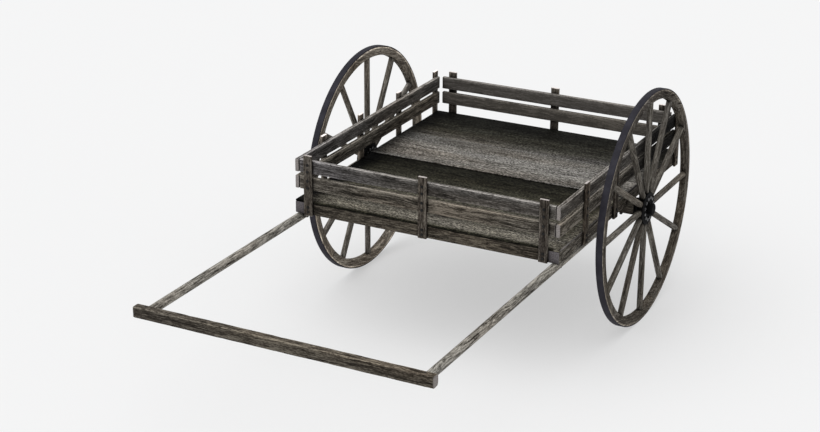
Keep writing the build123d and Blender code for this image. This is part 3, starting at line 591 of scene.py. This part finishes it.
UPPER = wood("wood_upper_rail", "attribute", (0.010, 0.009, 0.008), (0.055, 0.051, 0.047),
             (0.19, 0.18, 0.17), hue=0.6, knots=0.5, streak=0.65, fleckle=0.8, stain=0.4, top_bleach_and_light=1.7,
             worn=0.9, overlay=rail_rear_darkening)
LOWER = wood("wood_lower_rail", "attribute", (0.010, 0.009, 0.007), (0.052, 0.046, 0.038),
             (0.19, 0.173, 0.148), knots=0.8, stain=0.9, top_bleach_and_light=2.3, worn=0.9, overlay=rail_rear_darkening)
POST = wood("wood_post", "attribute", (0.009, 0.007, 0.006), (0.047, 0.040, 0.033), (0.155, 0.138, 0.117),
            stain=0.5, streak=0.8, end=(0.66, 0.60, 0.57), overlay=post_light)
SILL = wood("wood_sill", "y", (0.012, 0.010, 0.008), (0.066, 0.058, 0.048), (0.21, 0.195, 0.165),
            end=(0.15, 0.137, 0.143))
CROSS = wood("wood_cross", "x", (0.008, 0.007, 0.006), (0.042, 0.036, 0.029), (0.14, 0.125, 0.10))
BAR = wood("wood_crossbar", "attribute", (0.009, 0.008, 0.006), (0.047, 0.040, 0.032), (0.15, 0.135, 0.11),
           stain=0.6, top_bleach_and_light=0.85)
POLE = wood("wood_pole", "y", mid=(0.175, 0.166, 0.148), light=(0.42, 0.40, 0.365), knots=0.3, top_bleach_and_light=0.25)
SPOKE = wood("wood_spoke", "spokes", mid=(0.088, 0.080, 0.069), light=(0.27, 0.255, 0.225),
             knots=0.0, streak=0.7, stain=0.25, fleckle=0.7, overlay=spoke_light)
FELLOE = wood("wood_felloe", "felloes", (0.012, 0.010, 0.008), (0.058, 0.050, 0.041), (0.18, 0.165, 0.14),
              knots=0.3, streak=0.8, overlay=felloe_arris_and_left_light)
DECK = wood("wood_deck", "attribute", mid=(0.098, 0.093, 0.085), light=(0.30, 0.29, 0.27),
            streak=0.45, fleckle=1.6, stain=0.8, knots=0.3, painted_crevice_shade=0.6, overlay=deck_painted_shade)
FLOOR = wood("wood_floor", "attribute", mid=(0.110, 0.101, 0.082), light=(0.36, 0.335, 0.27),
             streak=0.6, fleckle=1.7, stain=0.6, knots=0.3, painted_crevice_shade=0.6, worn=0.0, overlay=floor_painted_light_and_shade)
TYRE = iron("iron_tyre", (0.020, 0.019, 0.025), (0.036, 0.035, 0.044), (0.036, 0.029, 0.026),
            rough=0.7, metallic=0.1, shine=0.12)
IRON = iron("iron_black", (0.0025, 0.0025, 0.003), (0.006, 0.006, 0.0065), (0.010, 0.008, 0.006),
            rough=0.75, metallic=0.0, shine=0.06)
FASTENER = iron("iron_fastener", (0.006, 0.006, 0.006), (0.020, 0.019, 0.018), (0.022, 0.016, 0.012),
                rough=0.5, metallic=0.2, shine=0.18, scale=2.0)
BOLT = iron("iron_bolt", (0.03, 0.03, 0.032), (0.11, 0.11, 0.112), (0.04, 0.03, 0.022),
            rough=0.4, metallic=0.3, shine=0.4, scale=2.0, inner=(0.004, 0.004, 0.004))

# ---------------------------------------------------------------- pieces

for side, along in (("front", X), ("back", X), ("left", Y), ("right", Y)):
    boards(f"rail_{side}_upper", f"slat_{side}_upper", along, UPPER, ragged=0.0012)
    boards(f"rail_{side}_lower", f"slat_{side}_lower", along, LOWER, ragged=0.0012)
    boards(f"stakes_{side}", f"posts_{side}", Z, POST, step=0.012)
boards("floor_planks", "floor_boards", X, FLOOR, radius=0.0012, wear=0.0004, step=0.03, ragged=0.0)
boards("deck_planks", "deck_boards", X, DECK, radius=0.0012, wear=0.0004, step=0.03, ragged=0.0015)
boards("pull_bar", "crossbar", X, BAR, radius=0.0035, wear=0.0010, step=0.018, ragged=0.003)
dress(["sill_left", "sill_right"], SILL, 0.0015)
dress(["cross_sill_front", "cross_sill_rear", "bearers", "axle_beam"], CROSS, 0.0015)
dress(["pole_left", "pole_right"], POLE)
dress(["spokes_left", "spokes_right"], SPOKE)
dress(["felloes_left", "felloes_right", "felloe_dowels_left", "felloe_dowels_right"], FELLOE, 0.0012)
dress(["tyre_left", "tyre_right"], TYRE, 0.0008)
BLACK_IRON = ("hub_flange", "hub_cap", "axle_", "tang")
HARDWARE = ("fasteners", "deck_nails", "floor_nails", "crossbar_pins", "pole_bolts", "beam_bolts",
            "split_pins", "axle_nuts", "axle_washers")
dress([n for n in NODES if n.startswith(BLACK_IRON) and n != "axle_beam"], IRON)
dress(["hub_bolts_left", "hub_bolts_right"], BOLT)
dress([n for n in NODES if n.startswith(HARDWARE)], FASTENER)

# ---------------------------------------------------------------- studio and camera

FLOOR_HALF = 60.0
SUN_FROM = Vector((-1.0, -1.6, 4.0))
SUN_ENERGY, SUN_ANGLE = 1.5, math.radians(80.0)
SKY_STRENGTH, GROUND_GLOW = 0.72, 0.46
LENS, SENSOR = 81.923, 36.0  # mm
CAMERA_AT = (3.19764, -6.34955, 3.38376)
AZIMUTH, ELEVATION, ROLL = (math.radians(a) for a in (27.53006, 21.546095, 0.229437))


def stage_floor():
    """A pale ground that glows a little, so that it stays even and near white."""
    mesh = bpy.data.meshes.new("studio_floor")
    corners = [(x * FLOOR_HALF, y * FLOOR_HALF, 0) for x, y in ((-1, -1), (1, -1), (1, 1), (-1, 1))]
    mesh.from_pydata(corners, [], [(0, 1, 2, 3)])
    o = bpy.data.objects.new("studio_floor", mesh)
    bpy.context.scene.collection.objects.link(o)
    mat = bpy.data.materials.new("studio_floor")
    mat.use_nodes = True
    bsdf = mat.node_tree.nodes["Principled BSDF"]
    bsdf.inputs["Base Color"].default_value = (0.40, 0.40, 0.40, 1)
    bsdf.inputs["Emission Color"].default_value = (1.0, 1.0, 1.0, 1)
    bsdf.inputs["Emission Strength"].default_value = GROUND_GLOW
    bsdf.inputs["Roughness"].default_value = 1.0
    bsdf.inputs["Specular IOR Level"].default_value = 0.0
    mesh.materials.append(mat)


stage_floor()
world = bpy.data.worlds.new("studio")
world.use_nodes = True
sky = world.node_tree.nodes["Background"]
sky.inputs["Color"].default_value = (0.985, 0.99, 1.0, 1)
sky.inputs["Strength"].default_value = SKY_STRENGTH
bpy.context.scene.world = world
sun = bpy.data.lights.new("key", "SUN")
sun.energy, sun.angle = SUN_ENERGY, SUN_ANGLE
key = bpy.data.objects.new("key", sun)
key.rotation_euler = (-SUN_FROM).to_track_quat("-Z", "Y").to_euler()
bpy.context.scene.collection.objects.link(key)

camera = bpy.data.cameras.new("camera")
camera.lens, camera.sensor_width, camera.sensor_fit = LENS, SENSOR, "HORIZONTAL"
camera.dof.use_dof = False
level = math.cos(ELEVATION)
back = Vector((math.sin(AZIMUTH) * level, -math.cos(AZIMUTH) * level, math.sin(ELEVATION)))
right = Vector((math.cos(AZIMUTH), math.sin(AZIMUTH), 0.0))
up = back.cross(right)
cos_roll, sin_roll = math.cos(ROLL), math.sin(ROLL)
right, up = right * cos_roll + up * sin_roll, up * cos_roll - right * sin_roll
cam = bpy.data.objects.new("camera", camera)
cam.matrix_world = Matrix.Translation(CAMERA_AT) @ Matrix((right, up, back)).transposed().to_4x4()
bpy.context.scene.collection.objects.link(cam)
bpy.context.scene.camera = cam
bpy.context.scene.view_settings.view_transform = "Standard"
